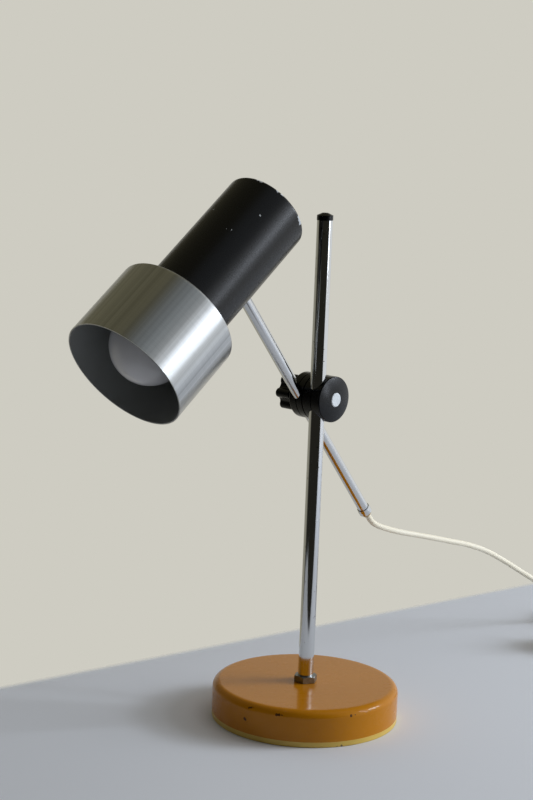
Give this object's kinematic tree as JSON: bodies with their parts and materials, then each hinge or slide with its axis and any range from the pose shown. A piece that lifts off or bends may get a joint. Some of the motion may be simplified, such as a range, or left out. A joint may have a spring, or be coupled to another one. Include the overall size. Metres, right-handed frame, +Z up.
{
  "type": "desk lamp",
  "caption": "Desk lamp: weighted enamel base, chromed stem, cross clamp that slides, tilts and turns, chromed arm with its cord, black cylinder head with a brushed collar shade",
  "frame": {"origin": "centre of the foot ring's underside, on the table", "axes": "+Z up the stem; +X along the clamp's bolt towards its domed disc; the head looks towards -Y and down; the cord lies towards +Y"},
  "size_m": [0.1598, 0.689, 0.4416],
  "materials": {
    "orange_enamel": "glossy stove enamel, mustard orange, chipped",
    "satin_black": "satin black paint, chipped at the rear edge",
    "brushed_aluminium": "spun and brushed, clear finish",
    "chrome_plate": "polished chrome plate",
    "zinc_steel": "zinc-plated steel, dull",
    "cast_weight": "as cast, painted black",
    "brass": "turned brass, dull",
    "cream_plastic": "moulded, aged cream",
    "black_bakelite": "moulded phenolic, polished",
    "white_bakelite": "moulded phenolic, white",
    "fibreboard": "pressed fibre board and fibre washers",
    "felt": "pressed wool felt, dark green",
    "tan_rubber": "aged tan rubber",
    "cream_cord": "smooth PVC sheath, aged cream",
    "opal_glass": "opal glass, lightly dusty"
  },
  "bodies": {
    "base": {"base_shell": "orange_enamel", "foot_ring": "cream_plastic", "base_weight": "cast_weight", "bottom_plate": "fibreboard", "base_pad": "felt"},
    "stem": {"stem_tube": "chrome_plate", "stem_spigot": "zinc_steel", "stem_lock_nut": "chrome_plate", "stem_washer": "zinc_steel", "stem_nut": "zinc_steel", "stem_cap": "black_bakelite"},
    "stem_clamp": {"stem_clamp_outer": "black_bakelite", "stem_clamp_inner": "black_bakelite", "clamp_bolt": "chrome_plate"},
    "arm_clamp": {"friction_washer": "fibreboard", "arm_clamp_inner": "black_bakelite", "arm_clamp_outer": "black_bakelite", "pressure_washer": "zinc_steel"},
    "knob": {"clamp_knob": "black_bakelite", "knob_insert": "brass"},
    "arm": {"arm_tube": "chrome_plate", "arm_ferrule": "chrome_plate", "cord_bush": "tan_rubber", "arm_flex": "cream_cord", "head_nipple": "brass", "head_washer": "zinc_steel", "head_nut": "zinc_steel", "power_cord": "cream_cord", "cord_coil": "cream_cord", "plug_lead": "cream_cord", "plug_cover": "cream_plastic", "plug_base": "cream_plastic", "plug_pins": "brass"},
    "head": {"barrel": "satin_black", "collar": "brushed_aluminium", "collar_rivets": "brushed_aluminium", "head_saddle": "zinc_steel", "holder_bracket": "zinc_steel", "holder_nipple": "brass", "holder_nut": "zinc_steel", "holder_body": "white_bakelite", "holder_shell": "brass", "holder_ring": "white_bakelite", "holder_contacts": "brass", "bulb_glass": "opal_glass", "bulb_cap": "brushed_aluminium", "switch_body": "black_bakelite", "switch_ring": "chrome_plate", "head_leads": "cream_cord"},
    "button": {"switch_button": "black_bakelite"}
  },
  "joints": [
    {"name": "stem_turn", "type": "hinge", "parent": "base", "child": "stem", "pos_m": [0, 0, 0.03], "axis": [0, 0, 1], "range_deg": [-180, 180]},
    {"name": "clamp_slide", "type": "slide", "parent": "stem", "child": "stem_clamp", "axis": [0, 0, 1], "range_m": [-0.08, 0.12]},
    {"name": "arm_tilt", "type": "hinge", "parent": "stem_clamp", "child": "arm_clamp", "pos_m": [0, 0.01, 0.2648], "axis": [1, 0, 0], "range_deg": [-5, 60]},
    {"name": "knob_turn", "type": "hinge", "parent": "stem_clamp", "child": "knob", "pos_m": [-0.03, 0.01, 0.2648], "axis": [1, 0, 0], "range_deg": [0, 360]},
    {"name": "arm_slide", "type": "slide", "parent": "arm_clamp", "child": "arm", "axis": [0, -0.6388, 0.7694], "range_m": [-0.015, 0.1]},
    {"name": "head_swivel", "type": "hinge", "parent": "arm", "child": "head", "pos_m": [-0.0156, -0.09824, 0.37952], "axis": [0, 0.6388, -0.7694], "range_deg": [-110, 110]},
    {"name": "switch_press", "type": "slide", "parent": "head", "child": "button", "axis": [0, -0.7891, -0.6143], "range_m": [0, 0.003], "stiffness_N_per_m": 300, "springref_m": -0.001}
  ]
}
